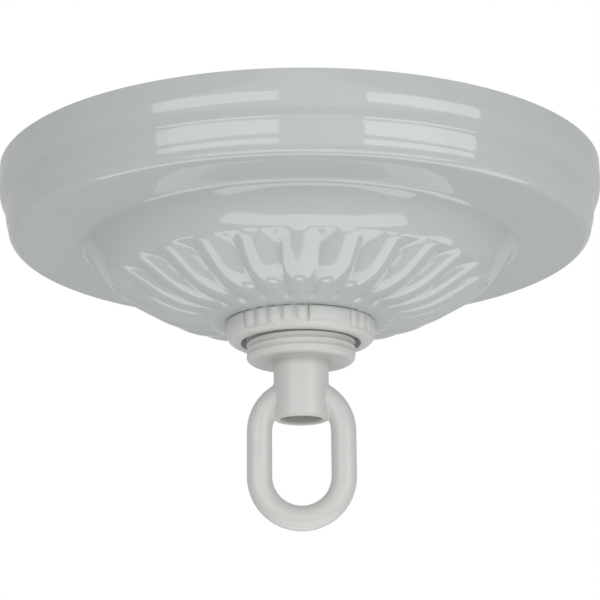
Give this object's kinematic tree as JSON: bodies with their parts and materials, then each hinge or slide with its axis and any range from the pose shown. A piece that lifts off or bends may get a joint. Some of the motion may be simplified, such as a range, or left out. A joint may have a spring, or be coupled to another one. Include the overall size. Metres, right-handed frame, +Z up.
{
  "type": "electrical ceiling rose",
  "caption": "Round fluted canopy held up by a knurled ring on the threaded collar of a cast hanging loop, with a hollow nipple and a crossbar for the ceiling box.",
  "frame": {"origin": "centre of the canopy's rim in the plane of the ceiling, midway between the two box screws", "axes": "+Z up into the ceiling along the axis of the canopy, the crossbar along X, the plane of the loop is XZ"},
  "size_m": [0.1334, 0.1334, 0.096],
  "materials": {
    "canopy_paint": "smooth satin white paint on stamped steel sheet",
    "casting_paint": "satin white paint on a zinc die casting",
    "zinc_plate": "bright zinc plating on steel",
    "green_paint": "green lacquer on a steel screw"
  },
  "bodies": {
    "mounting": {"screw_collar_loop": "casting_paint", "nipple": "zinc_plate", "upper_locknut": "zinc_plate", "upper_lock_washer": "zinc_plate", "lower_locknut": "zinc_plate", "collar_locknut": "zinc_plate", "collar_lock_washer": "zinc_plate", "crossbar": "zinc_plate", "box_screw_left": "zinc_plate", "box_screw_right": "zinc_plate", "ground_screw": "green_paint"},
    "canopy": {"canopy": "canopy_paint"},
    "collar_ring": {"collar_ring": "casting_paint"}
  },
  "joints": [
    {"name": "canopy_drop", "type": "slide", "parent": "mounting", "child": "canopy", "axis": [0, 0, -1], "range_m": [0, 0.00423]},
    {"name": "ring_turn", "type": "hinge", "parent": "canopy", "child": "collar_ring", "pos_m": [0, 0, 0], "axis": [0, 0, -1], "range_deg": [0, 1080]}
  ],
  "couplings": [
    {"joint": "ring_turn", "follows": "canopy_drop", "rad_per_m": 4452.7}
  ]
}
